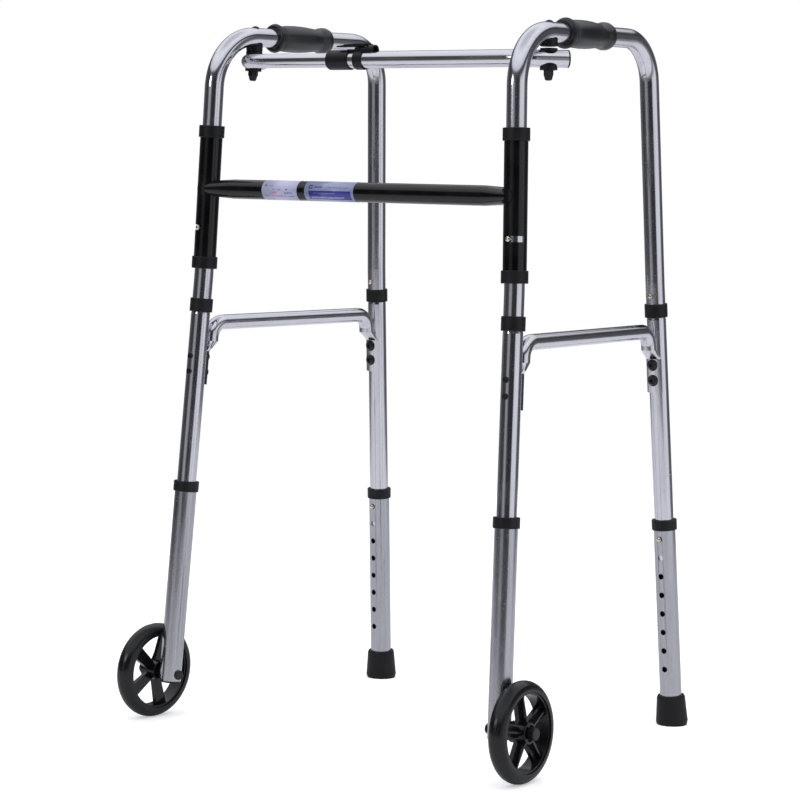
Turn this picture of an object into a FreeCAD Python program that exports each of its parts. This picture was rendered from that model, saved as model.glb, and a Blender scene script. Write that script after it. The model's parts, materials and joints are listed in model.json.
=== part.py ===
import FreeCAD, Part
import math
import os

# Folding walking frame, two front wheels and two rear feet.
# Millimetres, +Z up. The wheels and the black H frame are at -Y, the user stands at +Y.
# Each side frame is flat. It is drawn with x outward, y rearward and z up, then leant
# inward at the top, toed in at the rear and set out to its own side.

# Overall layout of one side frame
HALF_WIDTH = 252.1
DATUM_HEIGHT = 700.0
LEAN_DEG = 1.67
TOE_IN_DEG = 3.2
HOOP_HEIGHT = 916.5
SIDE_DEPTH = 337.6
KNEE_HEIGHT = 598.0
FRONT_UPPER_DEG = 2.15
FRONT_LEG_DEG = 4.43
REAR_UPPER_DEG = -2.86
REAR_LEG_DEG = -4.0

# Fits
SNUG = 0.03
RUNNING = 0.05
SLIDING = 0.3

# Hoop and middle tubes
TUBE_R = 12.7
TUBE_WALL = 1.4
FRONT_BEND_R = 71.0
REAR_BEND_R = 58.0
KNEE_BEND_R = 160.0
NECK_TOP = 4.0
NECK_WALL = 1.5
SHOULDER_START = 3.0
SHOULDER_LENGTH = 9.0
MIDDLE_END_BELOW_HOLE = 12.0

# Joint collars
FRONT_JOINT_DROP = 40.3
REAR_JOINT_DROP = 37.6
JOINT_COLLAR_R = 15.2
JOINT_COLLAR_H = 18.0

# Lower tubes, height collars and the hole row
LOWER_R = 14.6
FRONT_COLLAR_DROP = 283.8
REAR_COLLAR_DROP = 325.7
LOWER_COLLAR_R = 16.9
LOWER_COLLAR_H = 14.0
LOWER_TUBE_TOP = 3.0
HOLE_FROM_COLLAR = 18.2
HOLE_PITCH = 25.4
HOLE_COUNT = 8
HOLE_R = 3.9

# Snap buttons and their V springs
BUTTON_R = 3.1
BUTTON_OUT = 3.2
BUTTON_HOLE_R = 3.5
BUTTON_ABOVE_JOINT = 20.0
SPRING_T = 0.8
SPRING_W = 6.0
SPRING_L = 34.0
STOP_HEIGHT = 661.0
STOP_R = 3.4

# Front wheel and axle
WHEEL_R = 63.5
WHEEL_W = 24.0
WHEEL_OFFSET = 31.8
WHEEL_PHASES = {"left": 108.0, "right": 78.0}
AXLE_HEIGHT = 62.12
AXLE_R = 4.0
FRONT_TUBE_PAST_AXLE = 9.0
PLUG_T = 2.4
PLUG_STEM = 4.4
TYRE_DEPTH = 13.0
HUB_R = 13.5
HUB_W = 26.0
SPOKE_COUNT = 5
SPOKE_T = 6.0
SPOKE_W_HUB = 13.0
SPOKE_W_RIM = 18.0
RIM_LIP = 3.0
RIM_STEP = 1.8
RIB_T = 2.4
AXLE_HEAD_R = 6.5
AXLE_HEAD_H = 3.4
AXLE_CAP_R = 8.0
AXLE_CAP_H = 9.0

# Rear foot
FOOT_H = 40.0
FOOT_TOP_R = 18.9
FOOT_SOLE_R = 21.6
FOOT_FLOOR = 8.0
FOOT_TRIM = 4.0

# Brace between the legs
BRACE_HEIGHT = 533.4
BRACE_R = 10.0
BRACE_WALL = 1.5
BRACE_BEND_R = 20.0
SADDLE_TOP_DROP = 87.5
SADDLE_BLEND = 13.5
SADDLE_END_DROP = 146.0
SADDLE_T = 3.2
SADDLE_HALF_DEG = 46.0
SCREW_DROPS = (109.0, 129.5)
SCREW_R = 3.0
SCREW_HEAD_R = 7.8
SCREW_HEAD_H = 3.4
SCREW_SOCKET_R = 2.3
SCREW_END_R = 4.2
SCREW_END_H = 1.6

# Black H frame
SLEEVE_R = 14.9
SLEEVE_BOTTOM = 609.8
SLEEVE_TOP = 793.8
SLEEVE_COLLAR_R = 17.0
SLEEVE_COLLAR_H = 16.0
SLEEVE_LIP = 3.0
SLOT_DEG = 96.0
SLOT_MARGIN_DEG = 4.0
BAR_HEIGHT = 713.3
BAR_R = 12.7
BAR_WALL = 1.5
CLASP_LENGTH = 46.0
CLASP_FROM = 6.0
CLASP_PAST = 5.0
CLASP_HALF_H = 9.0
CLASP_NECK_H = 10.4
CLASP_T = 2.2

# Hand grips
GRIP_START = 116.0
GRIP_LENGTH = 106.0
GRIP_RING_R = 18.6
GRIP_RING_W = 7.0
GRIP_GROOVE_R = 15.4
GRIP_BODY_R = 18.0
GRIP_WAIST_R = 15.9
GRIP_REAR_R = 17.3

# Telescopic top crossbar
PIVOT_Y = 79.1
PIVOT_HEIGHT = 883.5
PIVOT_R = 3.0
INNER_R = 9.5
INNER_WALL = 1.5
OUTER_R = 11.1
OUTER_WALL = 1.1
BAR_SET_BACK = 26.8
INNER_BEND_DEG = 76.0
OUTER_BEND_DEG = 50.0
INNER_BEND_R = 22.0
OUTER_BEND_R = 35.0
TIP_PAST_PIVOT = 23.5
OUTER_START_X = -80.0
INNER_END_X = 50.0
END_CAP_T = 2.0
BUSH_LENGTH = 26.0
SADDLE_R = 11.0
LEFT_GAP = 0.4
RIGHT_GAP = 2.6
PIVOT_PLANE_HEIGHT = 897.4
LOWER_SADDLE_T = 3.1
DOME_R = 5.6
DOME_H = 3.0
NUT_R = 7.0
NUT_H = 13.0
SHANK_IN_NUT = 4.0
KEYWAY_W = 5.6
PIN_R = 2.5

# Latch on the crossbar
LATCH_R = 12.9
LATCH_LEFT_X = -86.0
LATCH_SLEEVE_L = 35.0
LATCH_RING_X = -40.5
LATCH_RING_L = 13.0
LATCH_PIN_X = -25.0
LEVER_TOP = 20.5
LEVER_LEFT_X = -70.0
LEVER_RIGHT_X = -11.0
LEVER_PIVOT_X = -36.0
LEVER_HALF_W = 8.0
LEVER_T = 3.4
LEVER_PIN_R = 1.5

ORIGIN = FreeCAD.Vector(0, 0, 0)
X_AXIS = FreeCAD.Vector(1, 0, 0)
Y_AXIS = FreeCAD.Vector(0, 1, 0)
Z_AXIS = FreeCAD.Vector(0, 0, 1)


def vec(x, y, z):
    return FreeCAD.Vector(x, y, z)


def tan(deg):
    return math.tan(math.radians(deg))


def sin(deg):
    return math.sin(math.radians(deg))


def cos(deg):
    return math.cos(math.radians(deg))


def front_y(z):
    return (z - DATUM_HEIGHT) * tan(FRONT_UPPER_DEG)


def rear_y(z):
    return SIDE_DEPTH + (z - DATUM_HEIGHT) * tan(REAR_UPPER_DEG)


LEGS = {
    "front": {"tilt": FRONT_LEG_DEG, "knee": front_y(KNEE_HEIGHT), "joint": FRONT_JOINT_DROP,
              "collar": FRONT_COLLAR_DROP, "face": 1},
    "rear": {"tilt": REAR_LEG_DEG, "knee": rear_y(KNEE_HEIGHT), "joint": REAR_JOINT_DROP,
             "collar": REAR_COLLAR_DROP, "face": -1},
}


# Placing

def turned(shape, base, axis, deg):
    placed = shape.copy()
    placed.rotate(base, axis, deg)
    return placed


def moved(shape, offset):
    placed = shape.copy()
    placed.translate(offset)
    return placed


def on_leg(shape, leg):
    """From the leg's own axes (z up along the tube, origin at the knee) to the side frame."""
    tilted = turned(shape, ORIGIN, X_AXIS, -LEGS[leg]["tilt"])
    return moved(tilted, vec(0, LEGS[leg]["knee"], KNEE_HEIGHT))


def on_fold_axis(shape, y, z):
    """From axes along the front upright to the side frame, with the origin at y, z."""
    return moved(turned(shape, ORIGIN, X_AXIS, -FRONT_UPPER_DEG), vec(0, y, z))


def on_side(shape, side):
    """From the flat side frame to its place in the walking frame."""
    datum = vec(0, 0, DATUM_HEIGHT)
    placed = turned(shape, datum, Y_AXIS, -LEAN_DEG)
    placed = turned(placed, datum, Z_AXIS, TOE_IN_DEG)
    placed = moved(placed, vec(HALF_WIDTH, 0, 0))
    if side == "left":
        placed = placed.mirror(ORIGIN, X_AXIS)
    return placed


def side_point(y, z, side):
    return on_side(Part.Vertex(vec(0, y, z)), side).Point


# Basic solids

def rod(radius, z0, z1):
    return Part.makeCylinder(radius, z1 - z0, vec(0, 0, z0))


def pipe(outer, inner, z0, z1):
    return rod(outer, z0, z1).cut(rod(inner, z0 - 1, z1 + 1))


def cone_pipe(r_low, r_high, wall, z0, z1):
    outer = Part.makeCone(r_low, r_high, z1 - z0, vec(0, 0, z0))
    inner = Part.makeCone(r_low - wall, r_high - wall, z1 - z0, vec(0, 0, z0))
    return outer.cut(inner)


def rod_y(radius, y0, y1, z):
    return Part.makeCylinder(radius, y1 - y0, vec(0, y0, z), Y_AXIS)


def rod_x(radius, x0, x1):
    return Part.makeCylinder(radius, x1 - x0, vec(x0, 0, 0), X_AXIS)


def block(x0, x1, y0, y1, z0, z1):
    return Part.makeBox(x1 - x0, y1 - y0, z1 - z0, vec(x0, y0, z0))


def revolved(profile, base, axis):
    """Full turn of a closed outline given as points."""
    wire = Part.makePolygon(profile + [profile[0]])
    return Part.Face(wire).revolve(base, axis, 360)


def softened(shape, radius, pick):
    edges = [edge for edge in shape.Edges if pick(edge)]
    return shape.makeFillet(radius, edges)


def bent_path(points, radii):
    """Polyline with its inner corners rounded."""
    edges = []
    start = points[0]
    for before, corner, after, radius in zip(points, points[1:], points[2:], radii):
        come = (corner - before).normalize()
        go = (after - corner).normalize()
        turn = come.getAngle(go)
        reach = radius * math.tan(turn / 2)
        first = corner - come * reach
        last = corner + go * reach
        inward = (go - come).normalize()
        middle = corner + inward * radius * (1 / math.cos(turn / 2) - 1)
        edges.append(Part.makeLine(start, first))
        edges.append(Part.Arc(first, middle, last).toShape())
        start = last
    edges.append(Part.makeLine(start, points[-1]))
    return Part.Wire(edges)


def bent_piece(edge, outer, inner):
    """Round tube or bar along one straight or curved stretch of a path."""
    start = edge.Vertexes[0].Point
    along = edge.tangentAt(edge.FirstParameter)
    section = Part.Face(Part.Wire([Part.makeCircle(outer, start, along)]))
    if inner:
        section = section.cut(Part.Face(Part.Wire([Part.makeCircle(inner, start, along)])))
    if edge.Curve.TypeId == "Part::GeomLine":
        return section.extrude(along * edge.Length)
    turn = math.degrees(edge.LastParameter - edge.FirstParameter)
    return section.revolve(edge.Curve.Center, edge.Curve.Axis, turn)


def swept(path, radius, inner=0):
    pieces = [bent_piece(edge, radius, inner) for edge in path.Edges]
    return pieces[0].fuse(pieces[1:]).removeSplitter()


def bent_tube(path, outer, wall):
    return swept(path, outer, outer - wall)


# Side frame: hoop and legs

def leg_point(leg, drop):
    return on_leg(Part.Vertex(vec(0, 0, -drop)), leg).Point


def hoop_path():
    front_top = vec(0, front_y(HOOP_HEIGHT), HOOP_HEIGHT)
    rear_top = vec(0, rear_y(HOOP_HEIGHT), HOOP_HEIGHT)
    points = [leg_point("front", FRONT_JOINT_DROP), leg_point("front", 0), front_top,
              rear_top, leg_point("rear", 0), leg_point("rear", REAR_JOINT_DROP)]
    return bent_path(points, [KNEE_BEND_R, FRONT_BEND_R, REAR_BEND_R, KNEE_BEND_R])


def radial_hole(radius, drop, face, reach):
    hole = Part.makeCylinder(radius, reach, vec(0, 0, -drop), vec(0, face, 0))
    return hole


def screw_holes():
    return [Part.makeCylinder(SCREW_R + SNUG, 60, vec(0, -30, -drop), Y_AXIS) for drop in SCREW_DROPS]


def pivot_hole():
    return on_fold_axis(rod(PIVOT_R + RUNNING, -40, 60), PIVOT_Y, PIVOT_HEIGHT)


def stop_hole():
    hole = Part.makeCylinder(STOP_R + SLIDING, 30, ORIGIN, vec(0, -1, 0))
    return on_fold_axis(hole, front_y(STOP_HEIGHT), STOP_HEIGHT)


def hoop():
    tube = bent_tube(hoop_path(), TUBE_R, TUBE_WALL)
    tube = tube.cut(pivot_hole()).cut(stop_hole())
    for leg in LEGS:
        drop = LEGS[leg]["joint"] - BUTTON_ABOVE_JOINT
        tube = tube.cut(on_leg(radial_hole(BUTTON_HOLE_R, drop, LEGS[leg]["face"], 20), leg))
    return tube


def height_hole_drop(leg):
    return LEGS[leg]["collar"] + HOLE_FROM_COLLAR


def middle_tube(leg):
    joint = LEGS[leg]["joint"]
    face = LEGS[leg]["face"]
    neck_r = TUBE_R - TUBE_WALL - SNUG
    neck_low = -joint - SHOULDER_START
    shoulder_low = neck_low - SHOULDER_LENGTH
    end = -height_hole_drop(leg) - HOLE_PITCH - MIDDLE_END_BELOW_HOLE
    body = pipe(neck_r, neck_r - NECK_WALL, neck_low, -NECK_TOP)
    body = body.fuse(cone_pipe(TUBE_R, neck_r, NECK_WALL, shoulder_low, neck_low))
    body = body.fuse(pipe(TUBE_R, TUBE_R - NECK_WALL, end, shoulder_low)).removeSplitter()
    body = body.cut(radial_hole(BUTTON_HOLE_R, joint - BUTTON_ABOVE_JOINT, face, 20))
    body = body.cut(radial_hole(BUTTON_HOLE_R, height_hole_drop(leg), face, 20))
    for hole in screw_holes():
        body = body.cut(hole)
    return on_leg(body, leg)


def joint_collar(leg):
    middle = -LEGS[leg]["joint"]
    low = middle - JOINT_COLLAR_H / 2
    high = middle + JOINT_COLLAR_H / 2
    collar = pipe(JOINT_COLLAR_R, TUBE_R + SNUG, low, high)
    rim = lambda edge: edge.Curve.Radius > TUBE_R + 1 if hasattr(edge.Curve, "Radius") else False
    return on_leg(softened(collar, 0.9, rim), leg)


def lower_tube(leg, length_below_collar):
    top = -LEGS[leg]["collar"] + LOWER_TUBE_TOP
    low = -LEGS[leg]["collar"] - length_below_collar
    tube = pipe(LOWER_R, TUBE_R + SLIDING, low, top)
    for row in range(HOLE_COUNT):
        drop = height_hole_drop(leg) + row * HOLE_PITCH
        tube = tube.cut(radial_hole(HOLE_R, drop, LEGS[leg]["face"], 20))
    return tube


def lower_collar(leg):
    middle = -LEGS[leg]["collar"]
    low = middle - LOWER_COLLAR_H / 2
    high = middle + LOWER_COLLAR_H / 2
    collar = pipe(LOWER_COLLAR_R, TUBE_R + SLIDING, low, high)
    collar = collar.cut(rod(LOWER_R + SNUG, low - 1, middle + LOWER_TUBE_TOP + SNUG))
    rim = lambda edge: edge.Curve.Radius > LOWER_R + 1 if hasattr(edge.Curve, "Radius") else False
    return on_leg(softened(collar, 1.0, rim), leg)


# Snap buttons

def button(radius, tube_outer, seat):
    """Button along +y, domed outside, its root resting on the spring."""
    shank = rod_y(radius, seat, tube_outer + BUTTON_OUT - 1.2, 0)
    tip = Part.makeSphere(radius + 1.2, vec(0, tube_outer + BUTTON_OUT - radius - 1.2, 0))
    inside = rod_y(radius, tube_outer, tube_outer + BUTTON_OUT + 5, 0)
    return shank.fuse(tip.common(inside)).removeSplitter()


def v_spring(inner_r):
    """Spring strip folded like a V inside a tube, its open end at the button."""
    near = inner_r - 3.2
    outline = [vec(0, near, 6), vec(0, near, -8), vec(0, -near + 4, -SPRING_L),
               vec(0, -near, -SPRING_L + 2), vec(0, -near, 2)]
    inner = [vec(0, -near + SPRING_T, 2), vec(0, -near + SPRING_T, -SPRING_L + 4),
             vec(0, -near + 4, -SPRING_L + 2.2), vec(0, near - SPRING_T, -7.6),
             vec(0, near - SPRING_T, 6)]
    face = Part.Face(Part.makePolygon(outline + inner + [outline[0]]))
    strip = face.extrude(vec(SPRING_W, 0, 0))
    return moved(strip, vec(-SPRING_W / 2, 0, 0))


def faced(shape, face):
    return shape if face > 0 else turned(shape, ORIGIN, Z_AXIS, 180)


def spring_seat(inner_r):
    return inner_r - 3.2 + SNUG


def joint_button(leg):
    inner = TUBE_R - TUBE_WALL - SNUG - NECK_WALL
    body = faced(button(BUTTON_R, TUBE_R, spring_seat(inner)), LEGS[leg]["face"])
    drop = LEGS[leg]["joint"] - BUTTON_ABOVE_JOINT
    return on_leg(moved(body, vec(0, 0, -drop)), leg)


def height_button(leg):
    inner = TUBE_R - NECK_WALL
    body = faced(button(BUTTON_R, LOWER_R, spring_seat(inner)), LEGS[leg]["face"])
    return on_leg(moved(body, vec(0, 0, -height_hole_drop(leg))), leg)


def stop_button():
    body = faced(button(STOP_R, SLEEVE_R, spring_seat(TUBE_R - TUBE_WALL)), -1)
    return on_fold_axis(body, front_y(STOP_HEIGHT), STOP_HEIGHT)


def snap_springs():
    springs = []
    for leg in LEGS:
        face = LEGS[leg]["face"]
        joint_drop = LEGS[leg]["joint"] - BUTTON_ABOVE_JOINT
        neck_inner = TUBE_R - TUBE_WALL - SNUG - NECK_WALL
        upper = faced(v_spring(neck_inner), face)
        springs.append(on_leg(moved(upper, vec(0, 0, -joint_drop)), leg))
        lower = faced(v_spring(TUBE_R - NECK_WALL), face)
        springs.append(on_leg(moved(lower, vec(0, 0, -height_hole_drop(leg))), leg))
    stop = faced(v_spring(TUBE_R - TUBE_WALL), -1)
    springs.append(on_fold_axis(stop, front_y(STOP_HEIGHT), STOP_HEIGHT))
    return Part.makeCompound(springs)


# Brace

def sector_wire(inner_r, outer_r, half_deg, face, z):
    """Crescent cut across a leg's near side, seen along the leg."""
    def at(radius, deg):
        return vec(radius * sin(deg), face * radius * cos(deg), z)
    outer = Part.Arc(at(outer_r, -half_deg), at(outer_r, 0), at(outer_r, half_deg)).toShape()
    side_b = Part.makeLine(at(outer_r, half_deg), at(inner_r, half_deg))
    inner = Part.Arc(at(inner_r, half_deg), at(inner_r, 0), at(inner_r, -half_deg)).toShape()
    side_a = Part.makeLine(at(inner_r, -half_deg), at(outer_r, -half_deg))
    return Part.Wire([outer, side_b, inner, side_a])


def round_wire(radius, centre_y, face, z):
    """The tube's round section, split where the crescent has its corners."""
    def at(deg):
        return vec(radius * sin(deg), centre_y + face * radius * cos(deg), z)
    outer = Part.Arc(at(-60), at(0), at(60)).toShape()
    side_b = Part.Arc(at(60), at(90), at(120)).toShape()
    inner = Part.Arc(at(120), at(180), at(240)).toShape()
    side_a = Part.Arc(at(240), at(270), at(300)).toShape()
    return Part.Wire([outer, side_b, inner, side_a])


def brace_offset():
    return TUBE_R + SNUG + BRACE_R + 0.6


def brace_path():
    offset = brace_offset()
    points = []
    for leg in LEGS:
        face = LEGS[leg]["face"]
        top = on_leg(Part.Vertex(vec(0, face * offset, -SADDLE_TOP_DROP)), leg).Point
        along = on_leg(Part.Vertex(vec(0, face * offset, 0)), leg).Point
        share = (BRACE_HEIGHT - top.z) / (along.z - top.z)
        points.append((top, top + (along - top) * share))
    ordered = [points[0][0], points[0][1], points[1][1], points[1][0]]
    return bent_path(ordered, [BRACE_BEND_R, BRACE_BEND_R])


def brace_end(leg):
    face = LEGS[leg]["face"]
    inner_r = TUBE_R + SNUG
    low = -SADDLE_TOP_DROP - SADDLE_BLEND
    start = round_wire(BRACE_R, face * brace_offset(), face, -SADDLE_TOP_DROP)
    flat = sector_wire(inner_r, inner_r + SADDLE_T, SADDLE_HALF_DEG, face, low)
    blend = Part.makeLoft([start, flat], True, True)
    strip = Part.Face(flat).extrude(vec(0, 0, -SADDLE_END_DROP - low))
    end = blend.fuse(strip)
    for hole in screw_holes():
        end = end.cut(hole)
    return on_leg(end, leg)


def brace():
    body = bent_tube(brace_path(), BRACE_R, BRACE_WALL)
    for leg in LEGS:
        body = body.fuse(brace_end(leg))
    return body


def brace_screw(face, drop):
    seat = TUBE_R + SNUG + SADDLE_T + SNUG
    shank = rod_y(SCREW_R, -TUBE_R - SCREW_END_H, seat, 0)
    head = Part.makeCone(SCREW_HEAD_R, SCREW_HEAD_R * 0.62, SCREW_HEAD_H, vec(0, seat, 0), Y_AXIS)
    head = softened(head, 0.8, lambda edge: edge.BoundBox.YMin > seat + 1)
    socket = Part.makePolygon([vec(SCREW_SOCKET_R * sin(60 * k), seat + 1.2, SCREW_SOCKET_R * cos(60 * k))
                               for k in range(7)])
    head = head.cut(Part.Face(socket).extrude(vec(0, SCREW_HEAD_H, 0)))
    far_end = rod_y(SCREW_END_R, -TUBE_R - SNUG - SCREW_END_H, -TUBE_R - SNUG, 0)
    far_end = softened(far_end, 0.7, lambda edge: edge.BoundBox.YMax < -TUBE_R - 1)
    screw = shank.fuse(head).fuse(far_end)
    return moved(faced(screw, face), vec(0, 0, -drop))


def brace_screws():
    screws = [on_leg(brace_screw(LEGS[leg]["face"], drop), leg) for leg in LEGS for drop in SCREW_DROPS]
    return Part.makeCompound(screws)


# Front leg end and wheel

def axle_drop():
    return (KNEE_HEIGHT - AXLE_HEIGHT) / cos(FRONT_LEG_DEG)


def front_lower_tube():
    length = axle_drop() + FRONT_TUBE_PAST_AXLE - FRONT_COLLAR_DROP
    tube = lower_tube("front", length)
    hole = moved(rod_x(AXLE_R + SNUG, -30, 30), vec(0, 0, -axle_drop()))
    return on_leg(tube.cut(hole), "front")


def front_plug():
    end = -axle_drop() - FRONT_TUBE_PAST_AXLE
    cap = rod(LOWER_R, end - PLUG_T, end - SNUG)
    cap = softened(cap, 1.2, lambda edge: edge.BoundBox.ZMax < end - 1)
    stem = rod(TUBE_R + SLIDING - SNUG, end - SNUG, end + PLUG_STEM)
    return on_leg(cap.fuse(stem), "front")


def on_axle(shape):
    return on_leg(moved(shape, vec(0, 0, -axle_drop())), "front")


def wheel_axle():
    seat = LOWER_R + SNUG
    hub_in = WHEEL_OFFSET - HUB_W / 2
    hub_out = WHEEL_OFFSET + HUB_W / 2
    head = rod_x(AXLE_HEAD_R, -seat - AXLE_HEAD_H, -seat)
    head = softened(head, 1.6, lambda edge: edge.BoundBox.XMax < -seat - 1)
    shank = rod_x(AXLE_R, -seat - 1, hub_out + AXLE_CAP_H)
    spacer = rod_x(7.0, seat, hub_in - SLIDING)
    cap = rod_x(AXLE_CAP_R, hub_out + SLIDING, hub_out + AXLE_CAP_H)
    cap = softened(cap, 1.4, lambda edge: edge.BoundBox.XMin > hub_out + 2)
    bolt = head.fuse(shank).fuse(spacer).fuse(cap).removeSplitter()
    cheek = rod(LOWER_R, -40, 40).common(rod_x(20, seat - 1, seat + 20))
    return on_axle(bolt.cut(moved(cheek, ORIGIN)))


def wheel_section():
    """Tyre and rim outline: x across the wheel, z from its axis."""
    half = WHEEL_W / 2
    rim = WHEEL_R - TYRE_DEPTH
    crown = [vec(half * sin(deg), 0, WHEEL_R - half * 0.85 * (1 - cos(deg))) for deg in range(-90, 91, 15)]
    lip = [vec(half - RIM_STEP, 0, rim), vec(half - RIM_STEP, 0, rim - RIM_LIP),
           vec(RIM_STEP - half, 0, rim - RIM_LIP), vec(RIM_STEP - half, 0, rim)]
    return [vec(half, 0, rim)] + lip + [vec(-half, 0, rim)] + crown


def spoke(turn):
    half = SPOKE_T / 2
    rim = WHEEL_R - TYRE_DEPTH - RIM_LIP + 2
    outline = [vec(-half, -SPOKE_W_HUB / 2, HUB_R - 3), vec(-half, SPOKE_W_HUB / 2, HUB_R - 3),
               vec(-half, SPOKE_W_RIM / 2, rim), vec(-half, -SPOKE_W_RIM / 2, rim)]
    web = Part.Face(Part.makePolygon(outline + [outline[0]])).extrude(vec(SPOKE_T, 0, 0))
    ridge = [vec(half, -RIB_T / 2, HUB_R - 1), vec(HUB_W / 2 - 3, -RIB_T / 2, HUB_R - 1),
             vec(WHEEL_W / 2 - 5, -RIB_T / 2, rim), vec(half, -RIB_T / 2, rim)]
    rib = Part.Face(Part.makePolygon(ridge + [ridge[0]])).extrude(vec(0, RIB_T, 0))
    limit = rod_x(rim - 0.5, -20, 20)
    return turned(web.fuse(rib).common(limit), ORIGIN, X_AXIS, turn)


def wheel(side):
    tyre = revolved(wheel_section(), ORIGIN, X_AXIS)
    hub = rod_x(HUB_R, -HUB_W / 2, HUB_W / 2)
    hub = softened(hub, 1.0, lambda edge: edge.BoundBox.XLength < 0.1)
    dish = rod_x(HUB_R - 3.0, HUB_W / 2 - 3.0, HUB_W / 2 + 1)
    dish = dish.cut(rod_x(AXLE_R + 3.2, HUB_W / 2 - 4.0, HUB_W / 2 + 1))
    body = tyre.fuse([spoke(360 / SPOKE_COUNT * k + 90 - WHEEL_PHASES[side]) for k in range(SPOKE_COUNT)] + [hub])
    body = body.cut(dish).cut(rod_x(AXLE_R + RUNNING, -40, 40))
    return on_axle(moved(body, vec(WHEEL_OFFSET, 0, 0)))


# Rear leg end

def floor_drop():
    return KNEE_HEIGHT / cos(REAR_LEG_DEG)


def rear_lower_tube():
    return on_leg(lower_tube("rear", floor_drop() - FOOT_FLOOR - REAR_COLLAR_DROP - SNUG), "rear")


def rear_foot(side):
    """Rubber ferrule, its sole cut level with the floor."""
    low = -floor_drop() - FOOT_TRIM
    bore = LOWER_R + SNUG
    floor = -floor_drop() + FOOT_FLOOR
    top = -floor_drop() + FOOT_H
    outline = [vec(0, 0, low), vec(FOOT_SOLE_R - 2.2, 0, low), vec(FOOT_SOLE_R - 0.8, 0, low + 6),
               vec(FOOT_SOLE_R, 0, low + 9), vec(FOOT_SOLE_R - 0.5, 0, low + 14), vec(FOOT_TOP_R + 0.2, 0, top - 3),
               vec(FOOT_TOP_R - 0.9, 0, top), vec(bore, 0, top), vec(bore, 0, floor), vec(0, 0, floor)]
    foot = on_side(on_leg(revolved(outline, ORIGIN, Z_AXIS), "rear"), side)
    return foot.cut(block(-600, 600, -200, 600, -50, 0))


# Hand grip

def grip():
    bore = TUBE_R + SNUG
    body_start = GRIP_RING_W + 3.0
    shape = [(0, GRIP_RING_R - 1.6), (1.2, GRIP_RING_R - 0.3), (3.0, GRIP_RING_R),
             (5.6, GRIP_RING_R - 0.4), (GRIP_RING_W, GRIP_GROOVE_R + 0.6),
             (GRIP_RING_W + 1.4, GRIP_GROOVE_R), (body_start, GRIP_GROOVE_R + 0.9)]
    start = vec(0, body_start, GRIP_GROOVE_R + 0.9)
    swell = vec(0, GRIP_LENGTH * 0.36, GRIP_BODY_R)
    waist = vec(0, GRIP_LENGTH * 0.79, GRIP_WAIST_R)
    rear = vec(0, GRIP_LENGTH * 0.905, GRIP_REAR_R)
    back = vec(0, GRIP_LENGTH - 1.6, GRIP_REAR_R - 3.0)
    curve = Part.BSplineCurve()
    curve.interpolate([start, vec(0, GRIP_LENGTH * 0.18, GRIP_BODY_R - 0.8), swell,
                       vec(0, GRIP_LENGTH * 0.60, GRIP_BODY_R - 0.9), waist, rear, back])
    front_points = [vec(0, y, r) for y, r in shape]
    edges = [Part.makePolygon(front_points), Part.Wire([curve.toShape()]),
             Part.makePolygon([back, vec(0, GRIP_LENGTH, bore + 1.5), vec(0, GRIP_LENGTH, bore),
                               vec(0, 0, bore), front_points[0]])]
    wire = Part.Wire([edge for part in edges for edge in part.Edges])
    solid = Part.Face(wire).revolve(ORIGIN, Y_AXIS, 360)
    return moved(solid, vec(0, GRIP_START, HOOP_HEIGHT))


# Black H frame

def sleeve_frame(shape):
    return on_fold_axis(shape, 0, DATUM_HEIGHT)


def along_sleeve(z):
    return (z - DATUM_HEIGHT) / cos(FRONT_UPPER_DEG)


def stop_slot(side):
    """Slot from the sleeve's front round to its outer side, in which the stop button rides."""
    z = along_sleeve(STOP_HEIGHT)
    half = STOP_R + SLIDING
    ring = pipe(SLEEVE_R + 5, TUBE_R, z - half, z + half)
    start = -90 - TOE_IN_DEG - SLOT_MARGIN_DEG
    wedge_points = [vec(0, 0, z - half - 1)]
    for step in range(7):
        deg = start + (SLOT_DEG + SLOT_MARGIN_DEG) * step / 6
        wedge_points.append(vec(40 * cos(deg), 40 * sin(deg), z - half - 1))
    wedge = Part.Face(Part.makePolygon(wedge_points + [wedge_points[0]])).extrude(vec(0, 0, 2 * half + 2))
    slot = ring.common(wedge)
    for deg in (start, start + SLOT_DEG + SLOT_MARGIN_DEG):
        end = Part.makeCylinder(half, 30, vec(0, 0, z), vec(cos(deg), sin(deg), 0))
        slot = slot.fuse(end)
    return slot


def sleeve(side):
    tube = pipe(SLEEVE_R, TUBE_R + RUNNING, along_sleeve(SLEEVE_BOTTOM), along_sleeve(SLEEVE_TOP))
    return on_side(sleeve_frame(tube.cut(stop_slot(side))), side)


def sleeve_collar(z0, z1, lip_up):
    collar = pipe(SLEEVE_COLLAR_R, SLEEVE_R + SNUG, z0, z1)
    lip = pipe(SLEEVE_COLLAR_R, TUBE_R + SLIDING, z1, z1 + SLEEVE_LIP)
    if not lip_up:
        lip = pipe(SLEEVE_COLLAR_R, TUBE_R + SLIDING, z0 - SLEEVE_LIP, z0)
    whole = collar.fuse(lip).removeSplitter()
    rim = lambda edge: edge.Curve.Radius > SLEEVE_R + 1 if hasattr(edge.Curve, "Radius") else False
    return softened(whole, 1.0, rim)


def sleeve_collars():
    depth = SLEEVE_COLLAR_H - SLEEVE_LIP
    top = along_sleeve(SLEEVE_TOP) + SNUG
    low = along_sleeve(SLEEVE_BOTTOM) - SNUG
    pair = [sleeve_collar(top - depth, top, True), sleeve_collar(low, low + depth, False)]
    return Part.makeCompound([on_side(sleeve_frame(collar), side)
                              for side in ("left", "right") for collar in pair])


def pressed_circle(centre, half_y, half_z):
    """The bar's round outline squashed to an oval across the bar."""
    outline = Part.Wire([Part.makeCircle(BAR_R, ORIGIN, X_AXIS)])
    squash = FreeCAD.Matrix()
    squash.scale(1, half_y / BAR_R, half_z / BAR_R)
    squash.move(centre)
    return outline.transformGeometry(squash)


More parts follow.
